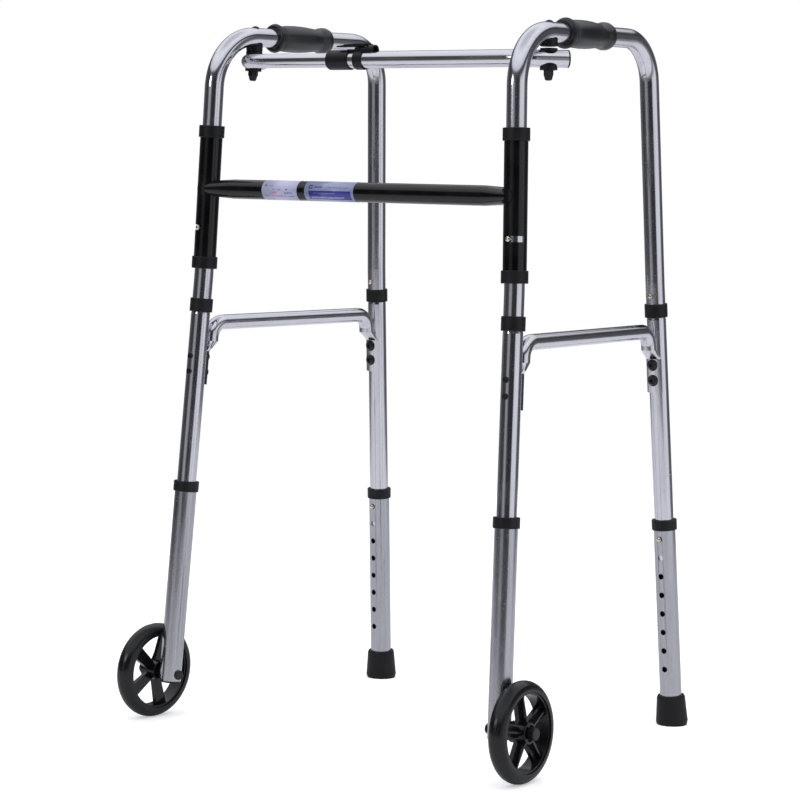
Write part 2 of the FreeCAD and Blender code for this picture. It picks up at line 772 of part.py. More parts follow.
def crossbar_clasp(side):
    """Round-ended strap on the sleeve's front and back, welded to the bar's pressed end."""
    wrap = pipe(SLEEVE_R + CLASP_T, SLEEVE_R + SNUG, -CLASP_HALF_H - 1, CLASP_HALF_H + 1)
    reach = SLEEVE_R + CLASP_T + 1
    tip = CLASP_HALF_H - CLASP_PAST
    tongue = Part.makeCylinder(CLASP_HALF_H, 2 * reach, vec(tip, -reach, 0), Y_AXIS)
    tongue = tongue.fuse(block(tip, reach, -reach, reach, -CLASP_HALF_H, CLASP_HALF_H))
    strap = wrap.common(turned(tongue, ORIGIN, Z_AXIS, 180))
    return on_side(sleeve_frame(moved(strap, vec(0, 0, along_sleeve(BAR_HEIGHT)))), side)


def crossbar_end(point, sign):
    """The bar's end, pressed from round to an oval as wide as the clasp."""
    start = point + vec(sign * CLASP_LENGTH, 0, 0)
    last = point + vec(sign * CLASP_FROM, 0, 0)
    flat = pressed_circle(last, SLEEVE_R + CLASP_T - 0.3, CLASP_NECK_H)
    return Part.makeLoft([pressed_circle(start, BAR_R, BAR_R), flat], True, False)


def crossbar_tube():
    y = front_y(BAR_HEIGHT)
    right = side_point(y, BAR_HEIGHT, "right")
    left = side_point(y, BAR_HEIGHT, "left")
    reach = vec(CLASP_LENGTH, 0, 0)
    length = right.x - left.x - 2 * CLASP_LENGTH
    bar = Part.makeCylinder(BAR_R, length, left + reach, X_AXIS)
    bore = Part.makeCylinder(BAR_R - BAR_WALL, length, left + reach, X_AXIS)
    solid = bar.cut(bore).fuse([crossbar_end(left, 1), crossbar_end(right, -1)])
    solid = solid.fuse([crossbar_clasp(side) for side in ("left", "right")])
    for side in ("left", "right"):
        clear = rod(SLEEVE_R + SNUG, -70, 70)
        solid = solid.cut(on_side(sleeve_frame(clear), side))
    return max(solid.Solids, key=lambda piece: piece.Volume)


# Telescopic top crossbar

def pivot_point(side):
    return side_point(PIVOT_Y, PIVOT_HEIGHT, side)


def bar_line_y():
    return pivot_point("right").y - BAR_SET_BACK


def bar_end_points(side):
    """Bend corner and tip of one end of the bar."""
    pivot = pivot_point(side)
    bend = INNER_BEND_DEG if side == "left" else OUTER_BEND_DEG
    sign = -1 if side == "left" else 1
    run = BAR_SET_BACK / sin(bend)
    along = vec(sign * cos(bend), sin(bend), 0)
    return pivot - along * run, pivot + along * TIP_PAST_PIVOT


def placed_pivot_rod(side, radius):
    return on_side(on_fold_axis(rod(radius, -60, 60), PIVOT_Y, PIVOT_HEIGHT), side)


def inner_path():
    corner, tip = bar_end_points("left")
    return bent_path([vec(INNER_END_X, corner.y, corner.z), corner, tip], [INNER_BEND_R])


def outer_path():
    corner, tip = bar_end_points("right")
    return bent_path([vec(OUTER_START_X, corner.y, corner.z), corner, tip], [OUTER_BEND_R])


def inner_tube():
    pivot = pivot_point("left")
    tube = bent_tube(inner_path(), INNER_R, INNER_WALL)
    tube = tube.cut(placed_pivot_rod("left", PIVOT_R + RUNNING))
    slot_end = LATCH_PIN_X + PIN_R + 2
    slot_start = slot_end - 136
    keyway = block(slot_start, slot_end, bar_line_y() - KEYWAY_W / 2, bar_line_y() + KEYWAY_W / 2,
                   pivot.z, pivot.z + 2 * INNER_R)
    return tube.cut(keyway)


def outer_tube():
    pivot = pivot_point("right")
    tube = bent_tube(outer_path(), OUTER_R, OUTER_WALL)
    tube = tube.cut(placed_pivot_rod("right", PIVOT_R + SNUG))
    hole = Part.makeCylinder(PIN_R + SLIDING, 30, vec(LATCH_PIN_X, bar_line_y(), pivot.z), Z_AXIS)
    return tube.cut(hole)


def guide_bush():
    """Bush on the inner tube's hidden end, running in the outer tube."""
    pivot = pivot_point("left")
    start = vec(INNER_END_X - BUSH_LENGTH - 2, bar_line_y(), pivot.z)
    outer = Part.makeCylinder(OUTER_R - OUTER_WALL - RUNNING, BUSH_LENGTH, start, X_AXIS)
    return outer.cut(Part.makeCylinder(INNER_R + RUNNING, BUSH_LENGTH, start, X_AXIS))


def end_cap(side, radius):
    corner, tip = bar_end_points(side)
    along = (tip - corner).normalize()
    cap = Part.makeCylinder(radius, END_CAP_T, tip + along * SNUG, along)
    return cap


def bar_solid(side):
    if side == "left":
        return swept(inner_path(), INNER_R + SNUG)
    return swept(outer_path(), OUTER_R + SNUG)


def hoop_saddle(side):
    """Spacer under the hoop, hollowed to the hoop's tube on top."""
    gap = LEFT_GAP if side == "left" else RIGHT_GAP
    low = PIVOT_PLANE_HEIGHT - PIVOT_HEIGHT + gap / 2
    top = HOOP_HEIGHT - PIVOT_HEIGHT - TUBE_R + 5
    disc = rod(SADDLE_R, low, top)
    disc = softened(disc, 0.6, lambda edge: edge.BoundBox.ZMax < low + 0.1)
    bore = PIVOT_R + RUNNING if side == "left" else PIVOT_R + SNUG
    body = on_fold_axis(disc.cut(rod(bore, low - 1, top + 1)), PIVOT_Y, PIVOT_HEIGHT)
    return on_side(body.cut(swept(hoop_path(), TUBE_R + SNUG)), side)


def bar_saddles(side):
    """Washer above and washer below the bar, each hollowed to the tube."""
    gap = LEFT_GAP if side == "left" else RIGHT_GAP
    bar_r = INNER_R if side == "left" else OUTER_R
    upper = rod(SADDLE_R, bar_r - 3, PIVOT_PLANE_HEIGHT - PIVOT_HEIGHT - gap / 2)
    lower = rod(SADDLE_R, -bar_r - LOWER_SADDLE_T, -bar_r + 3)
    bore = rod(PIVOT_R + RUNNING, -60, 60)
    washers = []
    for disc in (upper, lower):
        placed = on_side(on_fold_axis(disc.cut(bore), PIVOT_Y, PIVOT_HEIGHT), side)
        cut = placed.cut(bar_solid(side))
        washers.append(max(cut.Solids, key=lambda piece: piece.Volume))
    return washers


def inner_tube_trim():
    return Part.makeCompound(bar_saddles("left") + [end_cap("left", INNER_R)])


def outer_tube_trim():
    return Part.makeCompound(bar_saddles("right") + [end_cap("right", OUTER_R)])


def dome_head():
    base = HOOP_HEIGHT - PIVOT_HEIGHT + TUBE_R - 0.6
    ball_r = (DOME_R ** 2 + DOME_H ** 2) / (2 * DOME_H)
    ball = Part.makeSphere(ball_r, vec(0, 0, base + DOME_H - ball_r))
    skirt = rod(DOME_R, base - 1.6, base)
    return ball.common(rod(DOME_R, base, base + DOME_H)).fuse(skirt)


def pivot_nut(bar_r):
    """Domed cap nut under the bar: hexagon above, dome below."""
    top = -bar_r - LOWER_SADDLE_T - SNUG
    hexagon = Part.makePolygon([vec(NUT_R * cos(60 * k), NUT_R * sin(60 * k), top - 6) for k in range(7)])
    flats = Part.Face(hexagon).extrude(vec(0, 0, 6))
    neck = Part.makeCone(NUT_R * 0.60, NUT_R * 0.86, NUT_H - 6, vec(0, 0, top - NUT_H))
    neck = softened(neck, 2.2, lambda edge: edge.BoundBox.ZMax < top - NUT_H + 0.1)
    return flats.fuse(neck)


def on_pivot(shape, side):
    return on_side(on_fold_axis(shape, PIVOT_Y, PIVOT_HEIGHT), side)


def left_pivot_bolt():
    shank = rod(PIVOT_R, -INNER_R - LOWER_SADDLE_T - SHANK_IN_NUT, HOOP_HEIGHT - PIVOT_HEIGHT + TUBE_R)
    body = on_fold_axis(shank.fuse(dome_head()), PIVOT_Y, PIVOT_HEIGHT)
    clear = swept(hoop_path(), TUBE_R + SNUG).cut(pivot_hole())
    return on_side(body.cut(clear), "left")


def left_pivot_nut():
    """Cap nut of the left pivot, turning on the bolt's end."""
    low = -INNER_R - LOWER_SADDLE_T - SHANK_IN_NUT - SLIDING
    return on_pivot(pivot_nut(INNER_R).cut(rod(PIVOT_R + RUNNING, low, 0)), "left")


def right_pivot_bolt():
    """Upper stub of the right pivot, from the hoop's top to the saddle's flat."""
    top = HOOP_HEIGHT - PIVOT_HEIGHT + TUBE_R
    low = PIVOT_PLANE_HEIGHT - PIVOT_HEIGHT + RIGHT_GAP / 2 + 0.2
    shank = rod(PIVOT_R, low, top)
    body = on_fold_axis(shank.fuse(dome_head()), PIVOT_Y, PIVOT_HEIGHT)
    clear = swept(hoop_path(), TUBE_R + SNUG).cut(pivot_hole())
    return on_side(body.cut(clear), "right")


def right_pivot_nut():
    """Lower stub of the right pivot with its nut, held in the bar."""
    top = PIVOT_PLANE_HEIGHT - PIVOT_HEIGHT - RIGHT_GAP / 2 - 0.2
    shank = rod(PIVOT_R - 0.02, -OUTER_R - LOWER_SADDLE_T - SHANK_IN_NUT, top)
    return on_pivot(shank.fuse(pivot_nut(OUTER_R)), "right")


# Latch

def latch_place(shape):
    return moved(shape, vec(0, bar_line_y(), pivot_point("left").z))


def latch_housing():
    """Sleeve and ring joined under the lever, with a boss for the pin."""
    sleeve_end = LATCH_LEFT_X + LATCH_SLEEVE_L
    ring_end = LATCH_RING_X + LATCH_RING_L
    body = rod_x(LATCH_R, LATCH_LEFT_X, sleeve_end)
    body = softened(body, 1.4, lambda edge: edge.BoundBox.XMax < LATCH_LEFT_X + 0.1)
    body = body.fuse(rod_x(LATCH_R, LATCH_RING_X, ring_end))
    bridge = block(sleeve_end - 2, LATCH_RING_X + 2, -6, 6, OUTER_R - 1, LATCH_R + 0.6)
    boss = rod_x(7.2, LATCH_RING_X + 1, LEVER_RIGHT_X)
    boss = moved(boss, vec(0, 0, LEVER_TOP - 8.6))
    cheeks = []
    for sign in (-1, 1):
        middle = sign * (LEVER_HALF_W - 1.6)
        cheeks.append(block(LEVER_PIVOT_X - 4, LEVER_PIVOT_X + 4, middle - 1.2, middle + 1.2,
                            LATCH_R - 2, LEVER_TOP - 4.6))
    body = body.fuse([bridge, boss] + cheeks)
    body = body.cut(rod_x(OUTER_R + SNUG, OUTER_START_X, LEVER_RIGHT_X + 5))
    body = body.cut(rod_x(INNER_R + SLIDING, LATCH_LEFT_X - 1, OUTER_START_X))
    pocket = moved(rod_x(4.6, LATCH_RING_X + 6, LEVER_RIGHT_X + 1), vec(0, 0, LEVER_TOP - 8.6))
    slot = block(LATCH_PIN_X - 3.4, LATCH_PIN_X + 3.4, -3.4, 3.4, OUTER_R - 1, LEVER_TOP)
    lever_room = block(LEVER_LEFT_X - 2, LATCH_PIN_X + 4, -LEVER_HALF_W - 0.4, LEVER_HALF_W + 0.4,
                       LEVER_TOP - LEVER_T - 1.0, LEVER_TOP + 4)
    ear_room = block(LEVER_PIVOT_X - 4.2, LEVER_PIVOT_X + 4.2, -LEVER_HALF_W + 3.0, LEVER_HALF_W - 3.0,
                     LEVER_TOP - 8.9, LEVER_TOP)
    body = body.cut(pocket).cut(slot).cut(lever_room).cut(ear_room)
    body = body.cut(moved(Part.makeCylinder(LEVER_PIN_R + RUNNING, 40, vec(0, -20, 0), Y_AXIS),
                          vec(LEVER_PIVOT_X, 0, LEVER_TOP - 6.6)))
    return latch_place(max(body.Solids, key=lambda piece: piece.Volume))


def latch_lever():
    """Thumb lever: an arched plate with three thumb ribs, rocking on a cross pin."""
    low = LEVER_TOP - LEVER_T
    outline = [vec(LEVER_LEFT_X, 0, low - 0.6), vec(LEVER_LEFT_X, 0, low + 0.9),
               vec(LEVER_LEFT_X + 14, 0, LEVER_TOP - 1.0), vec(LEVER_LEFT_X + 30, 0, LEVER_TOP),
               vec(LATCH_PIN_X + 3, 0, LEVER_TOP), vec(LATCH_PIN_X + 3, 0, low + 0.4),
               vec(LEVER_LEFT_X + 30, 0, low - 0.2)]
    plate = Part.Face(Part.makePolygon(outline + [outline[0]])).extrude(vec(0, 2 * LEVER_HALF_W, 0))
    plate = moved(plate, vec(0, -LEVER_HALF_W, 0))
    ribs = [block(LEVER_LEFT_X + 13 + 4 * k, LEVER_LEFT_X + 14.4 + 4 * k, -LEVER_HALF_W - 0.8,
                  LEVER_HALF_W + 0.8, low, LEVER_TOP - 0.6 + 0.2 * k) for k in range(3)]
    ear = block(LEVER_PIVOT_X - 3, LEVER_PIVOT_X + 3, -LEVER_HALF_W + 3.4, LEVER_HALF_W - 3.4,
                LEVER_TOP - 8.4, low + 1)
    axis = Part.makeCylinder(LEVER_PIN_R, 2 * LEVER_HALF_W - 1, vec(LEVER_PIVOT_X, -LEVER_HALF_W + 0.5,
                             LEVER_TOP - 6.6), Y_AXIS)
    return latch_place(plate.fuse(ribs + [ear, axis]).removeSplitter())


def latch_pin():
    stem = Part.makeCylinder(PIN_R, LEVER_TOP - LEVER_T - 0.6 - INNER_R + 1.2, vec(LATCH_PIN_X, 0,
                             INNER_R - 1.2), Z_AXIS)
    return latch_place(stem)


def side_nodes(side):
    nodes = {
        "hoop": hoop(),
        "grip": grip(),
        "front_middle_tube": middle_tube("front"),
        "rear_middle_tube": middle_tube("rear"),
        "joint_collars": Part.makeCompound([joint_collar("front"), joint_collar("rear")]),
        "brace": brace(),
        "brace_screws": brace_screws(),
        "snap_springs": snap_springs(),
        "front_joint_button": joint_button("front"),
        "rear_joint_button": joint_button("rear"),
        "stop_button": stop_button(),
        "front_height_button": height_button("front"),
        "rear_height_button": height_button("rear"),
        "front_lower_tube": front_lower_tube(),
        "front_lower_collar": lower_collar("front"),
        "front_plug": front_plug(),
        "wheel_axle": wheel_axle(),
        "wheel": wheel(side),
        "rear_lower_tube": rear_lower_tube(),
        "rear_lower_collar": lower_collar("rear"),
    }
    placed = {side + "_" + name: on_side(shape, side) for name, shape in nodes.items()}
    placed[side + "_foot"] = rear_foot(side)
    placed[side + "_sleeve"] = sleeve(side)
    placed[side + "_hoop_saddle"] = hoop_saddle(side)
    return placed


def footprint_middle(nodes):
    """Half way between the wheels' front and the feet's back."""
    front = nodes["right_wheel"].optimalBoundingBox(False).YMin
    back = nodes["right_foot"].optimalBoundingBox(False).YMax
    return (front + back) / 2


def main():
    os.makedirs("parts", exist_ok=True)
    nodes = {}
    for side in ("left", "right"):
        nodes.update(side_nodes(side))
    nodes["crossbar_tube"] = crossbar_tube()
    nodes["sleeve_collars"] = sleeve_collars()
    nodes["inner_tube"] = inner_tube()
    nodes["outer_tube"] = outer_tube()
    nodes["inner_tube_trim"] = inner_tube_trim()
    nodes["outer_tube_trim"] = outer_tube_trim()
    nodes["guide_bush"] = guide_bush()
    nodes["left_pivot_bolt"] = left_pivot_bolt()
    nodes["left_pivot_nut"] = left_pivot_nut()
    nodes["right_pivot_bolt"] = right_pivot_bolt()
    nodes["right_pivot_nut"] = right_pivot_nut()
    nodes["latch_housing"] = latch_housing()
    nodes["latch_lever"] = latch_lever()
    nodes["latch_pin"] = latch_pin()
    middle = footprint_middle(nodes)
    for name, shape in nodes.items():
        moved(shape, vec(0, -middle, 0)).exportStep("parts/" + name + ".step")


main()
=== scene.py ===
import bpy, bmesh, json, math
from mathutils import Matrix, Vector


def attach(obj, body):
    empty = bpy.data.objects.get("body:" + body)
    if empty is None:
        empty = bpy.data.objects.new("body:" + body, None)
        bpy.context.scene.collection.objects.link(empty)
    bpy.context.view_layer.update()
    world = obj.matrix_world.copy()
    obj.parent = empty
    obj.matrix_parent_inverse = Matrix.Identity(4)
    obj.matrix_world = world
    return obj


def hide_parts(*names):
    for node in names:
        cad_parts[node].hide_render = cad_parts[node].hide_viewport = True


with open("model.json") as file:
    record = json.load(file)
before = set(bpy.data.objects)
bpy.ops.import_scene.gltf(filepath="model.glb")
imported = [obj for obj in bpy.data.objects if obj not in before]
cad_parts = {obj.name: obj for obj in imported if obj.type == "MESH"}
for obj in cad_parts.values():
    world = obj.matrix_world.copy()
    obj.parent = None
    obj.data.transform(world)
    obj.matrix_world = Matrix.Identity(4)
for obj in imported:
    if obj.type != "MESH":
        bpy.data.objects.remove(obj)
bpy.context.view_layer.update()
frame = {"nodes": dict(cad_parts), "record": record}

cad = frame["nodes"]
across, rearward, up = Vector((1, 0, 0)), Vector((0, 1, 0)), Vector((0, 0, 1))
print("frame loaded:", len(cad), "nodes")

# how each side frame stands: drawn flat, leant in at the top, toed in at the rear, set out to its side
sideStand = {"halfWidth": 0.2521, "datum": 0.7, "lean": -1.67, "toeIn": 3.2, "setBack": 0.150188}


def sideMatrix(side):
    s = sideStand
    lift = Matrix.Translation(up * s["datum"])
    lean = lift @ Matrix.Rotation(math.radians(s["lean"]), 4, "Y") @ lift.inverted()
    toe = Matrix.Rotation(math.radians(s["toeIn"]), 4, "Z")
    out = Matrix.Translation((s["halfWidth"], -s["setBack"], 0))
    flip = Matrix.Scale(-1 if side == "left" else 1, 4, across)
    return flip @ out @ toe @ lean


# camera and studio

camValues = {"place": (2.23237, -2.90997, 0.76642), "turn": (85.13949, -0.80115, 38.05803),
             "lens": 124.758, "sensor": 36, "shiftY": -0.01642, "near": 0.05, "far": 60}


def makeCamera(v):
    data = bpy.data.cameras.new("camera")
    data.lens, data.sensor_width, data.shift_y = v["lens"], v["sensor"], v["shiftY"]
    data.clip_start, data.clip_end = v["near"], v["far"]
    camera = bpy.data.objects.new("camera", data)
    camera.location = v["place"]
    camera.rotation_euler = [math.radians(a) for a in v["turn"]]
    bpy.context.scene.collection.objects.link(camera)
    bpy.context.scene.camera = camera


def fillInputs(tree, made, inputs):
    for key, value in inputs.items():
        if isinstance(value, bpy.types.NodeSocket):
            tree.links.new(value, made.inputs[key])
        else:
            made.inputs[key].default_value = value


def addNode(tree, kind, inputs=None, **settings):
    made = tree.nodes.new("ShaderNode" + kind)
    for key, value in settings.items():
        setattr(made, key, value)
    fillInputs(tree, made, inputs or {})
    return made


def math2(tree, operation, a, b=0.0, clamp=False):
    made = addNode(tree, "Math", {0: a, 1: b}, operation=operation, use_clamp=clamp)
    return made.outputs[0]


def softStep(tree, value, low, high):
    made = addNode(tree, "MapRange", {"Value": value, "From Min": low, "From Max": high},
                   interpolation_type="SMOOTHSTEP")
    return made.outputs[0]


def rampFrom(tree, fac, stops, tint):
    made = addNode(tree, "ValToRGB", {"Fac": fac})
    ramp = made.color_ramp
    ramp.interpolation = "EASE"
    while len(ramp.elements) < len(stops):
        ramp.elements.new(0.5)
    for element, (place, level) in zip(ramp.elements, stops):
        element.position = place
        element.color = [level * part for part in tint] + [1]
    return made.outputs["Color"]


# the studio as the tubes reflect it: soft boxes and darker gaps, by compass bearing in degrees
studio = {
    "zeroBearing": -52.0,
    "round": [(-180, 0.30), (-120, 0.24), (-104, 0.10), (-66, 0.11), (-54, 0.62), (-34, 0.66), (-22, 0.07),
              (24, 0.06), (34, 1.5), (80, 1.6), (94, 0.20), (128, 0.16), (150, 0.42)],
    "overhead": [(0.0, 0.10), (0.42, 0.10), (0.52, 1.5), (0.80, 1.9), (1.0, 1.3)],
    "overheadFrom": (0.20, 0.34), "groundFrom": (-0.10, -0.24), "tint": (0.965, 0.975, 1.03),
    "below": 0.5, "backdrop": (1.0, 1.0, 1.0), "strength": 0.62,
}


def makeStudio(v):
    world = bpy.data.worlds.new("studio")
    bpy.context.scene.world = world
    world.use_nodes = True
    tree = world.node_tree
    tree.nodes.clear()
    facing = addNode(tree, "TexCoord").outputs["Generated"]
    spin = addNode(tree, "VectorRotate", {"Vector": facing, "Angle": -math.radians(v["zeroBearing"])},
                   rotation_type="Z_AXIS")
    around = addNode(tree, "TexGradient", {"Vector": spin.outputs[0]}, gradient_type="RADIAL")
    stops = sorted((0.5 + bearing / 360, level) for bearing, level in v["round"])
    sides = rampFrom(tree, around.outputs["Fac"], stops, v["tint"])
    height = addNode(tree, "SeparateXYZ", {"Vector": facing}).outputs["Z"]
    overhead = rampFrom(tree, height, v["overhead"], v["tint"])
    isHigh = softStep(tree, height, *v["overheadFrom"])
    isLow = softStep(tree, height, *v["groundFrom"])
    walls = addNode(tree, "Mix", {"Factor": isHigh, 6: sides, 7: overhead}, data_type="RGBA").outputs[2]
    ground = (v["below"],) * 3 + (1,)
    whole = addNode(tree, "Mix", {"Factor": isLow, 6: walls, 7: ground}, data_type="RGBA").outputs[2]
    lit = addNode(tree, "Background", {"Color": whole, "Strength": v["strength"]})
    plain = addNode(tree, "Background", {"Color": (*v["backdrop"], 1), "Strength": 1.0})
    seen = addNode(tree, "LightPath").outputs["Is Camera Ray"]
    both = addNode(tree, "MixShader", {0: seen, 1: lit.outputs[0], 2: plain.outputs[0]})
    out = addNode(tree, "OutputWorld")
    tree.links.new(both.outputs[0], out.inputs["Surface"])


lampValues = {
    "overheadLamp": {"place": (0.2, -0.3, 3.2), "aim": (0, 0, 0), "size": 3.0, "power": 34, "shine": False},
    "sideLamp": {"place": (3.0, 0.6, 1.7), "aim": (0, 0, 0.5), "size": 1.6, "power": 12, "shine": False},
    "frontLamp": {"place": (-0.9, -3.2, 1.6), "aim": (0, 0, 0.5), "size": 0.7, "power": 9, "shine": True},
}


def makeLamp(name, v):
    data = bpy.data.lights.new(name, "AREA")
    data.size, data.energy = v["size"], v["power"]
    lamp = bpy.data.objects.new(name, data)
    lamp.location = v["place"]
    lamp.rotation_euler = (Vector(v["aim"]) - Vector(v["place"])).to_track_quat("-Z", "Y").to_euler()
    lamp.visible_camera = False
    lamp.visible_glossy = v["shine"]
    bpy.context.scene.collection.objects.link(lamp)


makeCamera(camValues)
makeStudio(studio)
for lampName, lampSet in lampValues.items():
    makeLamp(lampName, lampSet)
bpy.context.scene.view_settings.view_transform = "Standard"
print("camera and studio ready")

# shader groups shared by several finishes

def newGroup(name, inputs, outputs):
    group = bpy.data.node_groups.new(name, "ShaderNodeTree")
    for label, value in inputs:
        kind = "NodeSocketVector" if isinstance(value, tuple) else "NodeSocketFloat"
        socket = group.interface.new_socket(label, in_out="INPUT", socket_type=kind)
        socket.default_value = value
    for label, kind in outputs:
        group.interface.new_socket(label, in_out="OUTPUT", socket_type="NodeSocket" + kind)
    return group, group.nodes.new("NodeGroupInput").outputs, group.nodes.new("NodeGroupOutput").inputs


# fine lines drawn along a tube, with a wider streak under them
lineValues = {"fineDetail": 3.0, "fineRough": 0.6, "wideScale": 0.22, "wideDetail": 1.0, "fineShare": 0.6,
              "wideShare": 0.4}


def makeLinesGroup(v):
    group, given, out = newGroup("drawnLines", [("Vector", (0.0, 0.0, 0.0)),
                                                ("Squeeze", (900.0, 900.0, 3.0))], [("Lines", "Float")])
    stretched = addNode(group, "VectorMath", {0: given["Vector"], 1: given["Squeeze"]}, operation="MULTIPLY")
    place = stretched.outputs[0]
    fine = addNode(group, "TexNoise", {"Vector": place, "Scale": 1.0, "Detail": v["fineDetail"],
                                       "Roughness": v["fineRough"]})
    wide = addNode(group, "TexNoise", {"Vector": place, "Scale": v["wideScale"], "Detail": v["wideDetail"]})
    both = math2(group, "ADD", math2(group, "MULTIPLY", fine.outputs["Fac"], v["fineShare"]),
                 math2(group, "MULTIPLY", wide.outputs["Fac"], v["wideShare"]))
    group.links.new(both, out["Lines"])
    return group


# pitted skin of a moulding, uneven from place to place
grainValues = {"cloudScale": 260.0, "cloudDetail": 4.0, "pitShare": 0.7, "cloudShare": 0.5, "depth": 0.0004}


def makeGrainGroup(v):
    group, given, out = newGroup("mouldGrain", [("Vector", (0.0, 0.0, 0.0)), ("Size", 1400.0),
                                                ("Depth", 0.1)], [("Grain", "Float"), ("Normal", "Vector")])
    place = given["Vector"]
    pits = addNode(group, "TexVoronoi", {"Vector": place, "Scale": given["Size"]}, feature="SMOOTH_F1")
    cloud = addNode(group, "TexNoise", {"Vector": place, "Scale": v["cloudScale"],
                                        "Detail": v["cloudDetail"]})
    height = math2(group, "ADD", math2(group, "MULTIPLY", pits.outputs["Distance"], v["pitShare"]),
                   math2(group, "MULTIPLY", cloud.outputs["Fac"], v["cloudShare"]))
    bump = addNode(group, "Bump", {"Height": height, "Strength": given["Depth"], "Distance": v["depth"]})
    group.links.new(cloud.outputs["Fac"], out["Grain"])
    group.links.new(bump.outputs["Normal"], out["Normal"])
    return group


# cloudy patches where hands have been
smudgeValues = {"detail": 5.0, "warp": 0.6, "from": 0.38, "to": 0.68}


def makeSmudgeGroup(v):
    group, given, out = newGroup("handling", [("Vector", (0.0, 0.0, 0.0)), ("Size", 14.0)],
                                 [("Smudge", "Float")])
    patch = addNode(group, "TexNoise", {"Vector": given["Vector"], "Scale": given["Size"],
                                        "Detail": v["detail"], "Distortion": v["warp"]})
    group.links.new(softStep(group, patch.outputs["Fac"], v["from"], v["to"]), out["Smudge"])
    return group


# short scratches: two stretched noises, each turned its own way and cut to its crests
scuffValues = {"from": 0.68, "to": 0.76, "runs": [((0.3, 0.1, 0.5), (420, 34, 420)),
                                                  ((0.9, 0.4, 0.2), (30, 380, 380))]}


def makeScuffGroup(v):
    group, given, out = newGroup("scuffs", [("Vector", (0.0, 0.0, 0.0)), ("Amount", 0.1)],
                                 [("Scuff", "Float")])
    total = 0.0
    for turn, stretch in v["runs"]:
        place = addNode(group, "Mapping", {"Vector": given["Vector"], "Rotation": turn, "Scale": stretch})
        crest = addNode(group, "TexNoise", {"Vector": place.outputs[0], "Scale": 1.0, "Detail": 2.0})
        cut = addNode(group, "MapRange", {"Value": crest.outputs["Fac"], "From Min": v["from"],
                                          "From Max": v["to"]})
        total = math2(group, "MAXIMUM", total, cut.outputs[0])
    group.links.new(math2(group, "MULTIPLY", total, given["Amount"]), out["Scuff"])
    return group


printEdge = 0.00015


def makeBlockGroup(edge):
    # soft-edged rectangle on the front of the bar, by x and height
    group, given, out = newGroup("printBlock", [("Vector", (0.0, 0.0, 0.0)), ("Centre", (0.0, 0.0, 0.0)),
                                                ("Half", (0.01, 1.0, 0.004))], [("Mask", "Float")])
    away = addNode(group, "VectorMath", {0: given["Vector"], 1: given["Centre"]}, operation="SUBTRACT")
    size = addNode(group, "VectorMath", {0: away.outputs[0]}, operation="ABSOLUTE")
    spare = addNode(group, "VectorMath", {0: given["Half"], 1: size.outputs[0]}, operation="SUBTRACT")
    parts = addNode(group, "SeparateXYZ", {"Vector": spare.outputs[0]})
    least = math2(group, "MINIMUM", parts.outputs["X"], parts.outputs["Z"])
    fade = addNode(group, "MapRange", {"Value": least, "From Min": 0.0, "From Max": edge})
    group.links.new(fade.outputs[0], out["Mask"])
    return group


shared = {"lines": makeLinesGroup(lineValues), "grain": makeGrainGroup(grainValues),
          "smudge": makeSmudgeGroup(smudgeValues), "scuff": makeScuffGroup(scuffValues),
          "block": makeBlockGroup(printEdge)}


def useGroup(tree, which, inputs):
    made = tree.nodes.new("ShaderNodeGroup")
    made.node_tree = shared[which]
    fillInputs(tree, made, inputs)
    return made.outputs


def newFinish(name, **sockets):
    material = bpy.data.materials.new(name)
    material.use_nodes = True
    tree = material.node_tree
    shader = tree.nodes["Principled BSDF"]
    for key, value in sockets.items():
        shader.inputs[key.replace("_", " ")].default_value = value
    place = addNode(tree, "TexCoord").outputs["Object"]
    return material, tree, shader, place


def mixTone(tree, fac, dark, light):
    return addNode(tree, "Mix", {"Factor": fac, 6: (*dark, 1), 7: (*light, 1)}, data_type="RGBA").outputs[2]


def between(tree, fac, low, high):
    return addNode(tree, "MapRange", {"Value": fac, "To Min": low, "To Max": high}).outputs[0]


tubeFinish = {
    "bright": {"dark": (0.46, 0.465, 0.51), "light": (0.74, 0.745, 0.79), "smooth": 0.09, "rough": 0.17,
               "lineBump": 0.02, "smudge": 0.06},
    "satin": {"dark": (0.27, 0.275, 0.305), "light": (0.56, 0.565, 0.60), "smooth": 0.15, "rough": 0.28,
              "lineBump": 0.05, "smudge": 0.05},
}
tubeShared = {"anisotropic": 0.25, "smudgeSize": 16.0, "scuff": 0.12, "lineDepth": 0.0003, "turnOver": 0.02}
alongAxis = {"x": (3.0, 900.0, 900.0), "y": (900.0, 3.0, 900.0), "z": (900.0, 900.0, 3.0)}
bendHeight = {"hoop": 0.872, "brace": 0.512}  # where the drawing lines turn from the legs to the top


